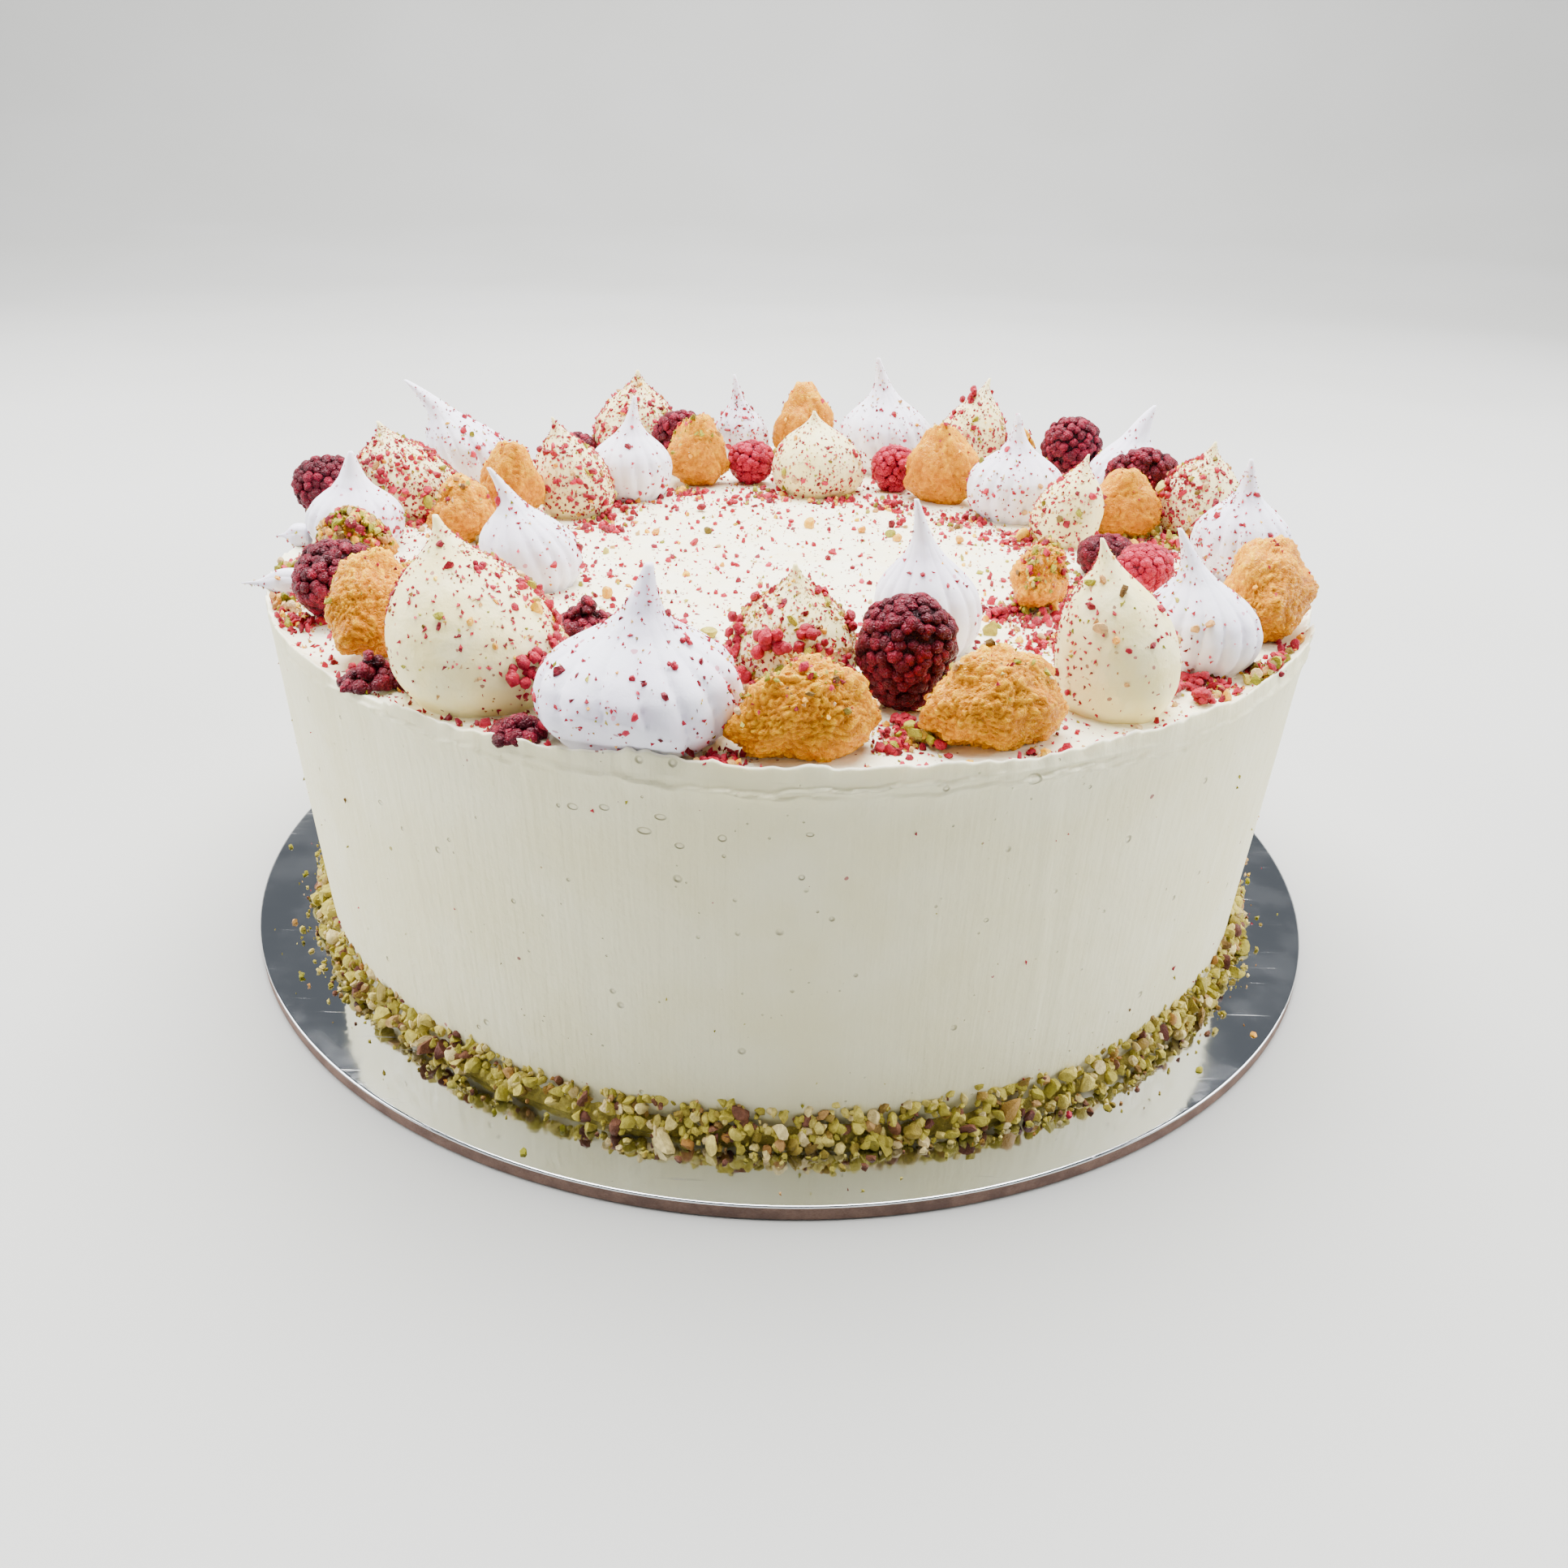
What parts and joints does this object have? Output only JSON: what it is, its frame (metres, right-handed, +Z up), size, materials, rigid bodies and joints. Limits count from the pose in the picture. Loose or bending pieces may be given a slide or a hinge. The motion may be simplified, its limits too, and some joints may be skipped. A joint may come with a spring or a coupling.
{
  "type": "decorated layer cake on a round cake board",
  "caption": "Round cream-covered cake with a wreath of meringue and cream kisses, dried orange and raspberry on top and chopped nuts at its foot, on a thin foil board.",
  "frame": {"origin": "middle of the board's underside, where it rests", "axes": "+Z up, -Y towards the viewer of the picture, +X to the viewer's right"},
  "size_m": [0.3048, 0.3048, 0.1324],
  "materials": {
    "silver_foil": "near-mirror foil with scratches",
    "buttercream": "smooth ivory buttercream, satin, with fruit and nut crumbs on the top",
    "pistachio": "chopped nuts, matte",
    "meringue": "dry, matte, with a cool white tint",
    "cream_kiss": "soft satin",
    "dried_orange": "rough, slightly translucent",
    "dried_raspberry": "matte, lumpy"
  },
  "bodies": {
    "root": {"cake_board": "silver_foil", "cake": "buttercream", "pistachio_ring": "pistachio", "meringue_01": "meringue", "meringue_02": "meringue", "meringue_03": "meringue", "meringue_04": "meringue", "meringue_05": "meringue", "meringue_06": "meringue", "meringue_07": "meringue", "meringue_08": "meringue", "meringue_09": "meringue", "meringue_10": "meringue", "meringue_11": "meringue", "meringue_12": "meringue", "meringue_13": "meringue", "meringue_14": "meringue", "cream_kiss_01": "cream_kiss", "cream_kiss_02": "cream_kiss", "cream_kiss_03": "cream_kiss", "cream_kiss_04": "cream_kiss", "cream_kiss_05": "cream_kiss", "cream_kiss_06": "cream_kiss", "cream_kiss_07": "cream_kiss", "cream_kiss_08": "cream_kiss", "cream_kiss_09": "cream_kiss", "cream_kiss_10": "cream_kiss", "orange_01": "dried_orange", "orange_02": "dried_orange", "orange_03": "dried_orange", "orange_04": "dried_orange", "orange_05": "dried_orange", "orange_06": "dried_orange", "orange_07": "dried_orange", "orange_08": "dried_orange", "orange_09": "dried_orange", "orange_10": "dried_orange", "orange_11": "dried_orange", "orange_12": "dried_orange", "orange_13": "dried_orange", "raspberry_01": "dried_raspberry", "raspberry_02": "dried_raspberry", "raspberry_03": "dried_raspberry", "raspberry_04": "dried_raspberry", "raspberry_05": "dried_raspberry", "raspberry_06": "dried_raspberry", "raspberry_07": "dried_raspberry", "raspberry_08": "dried_raspberry", "raspberry_09": "dried_raspberry", "raspberry_10": "dried_raspberry", "raspberry_11": "dried_raspberry", "raspberry_clump_01": "dried_raspberry", "raspberry_clump_02": "dried_raspberry", "raspberry_clump_03": "dried_raspberry"}
  },
  "joints": []
}
